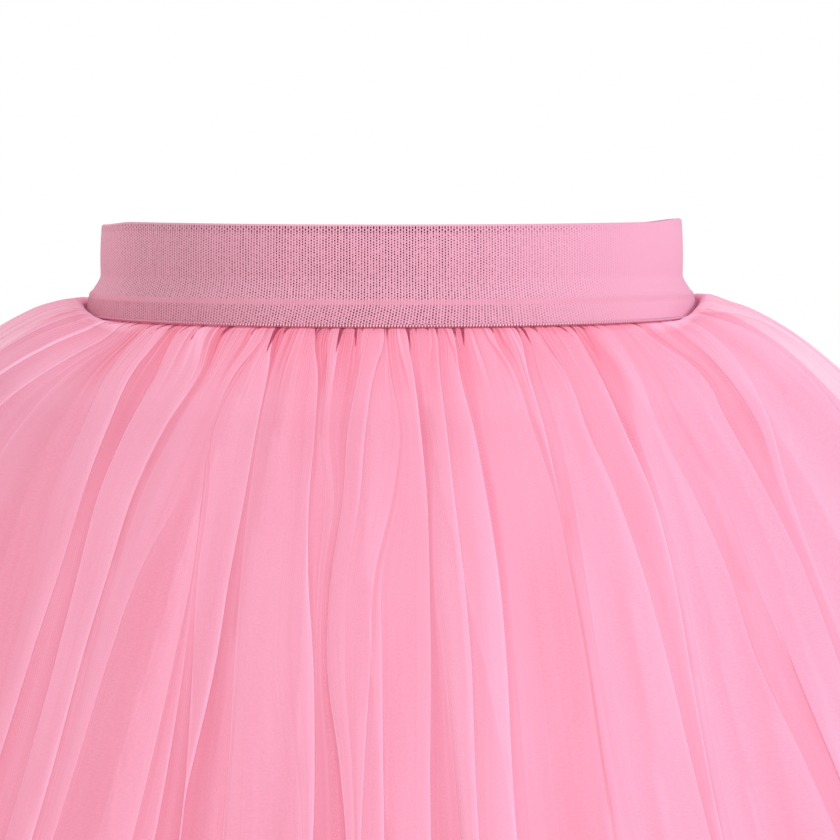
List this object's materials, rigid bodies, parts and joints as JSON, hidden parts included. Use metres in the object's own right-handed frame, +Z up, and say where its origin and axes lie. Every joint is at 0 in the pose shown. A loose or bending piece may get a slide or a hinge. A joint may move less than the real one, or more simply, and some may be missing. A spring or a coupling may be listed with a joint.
{
  "type": "tulle skirt",
  "caption": "Full gathered knee-length skirt of layered soft tulle on a wide knitted elastic waistband, open at waist and hem.",
  "frame": {"origin": "centre of the waist, half way down the waistband", "axes": "+Z up, -Y the front, +X to the right as seen from the front"},
  "size_m": [0.9367, 0.8219, 0.5627],
  "materials": {
    "elastic": "matt knitted elastic",
    "tulle_outer": "soft fine net with a slight sheen",
    "tulle_under": "soft fine net"
  },
  "bodies": {
    "root": {"waistband": "elastic", "tulle_outer_front": "tulle_outer", "tulle_outer_back": "tulle_outer", "tulle_middle": "tulle_under", "tulle_inner": "tulle_under"}
  },
  "joints": []
}
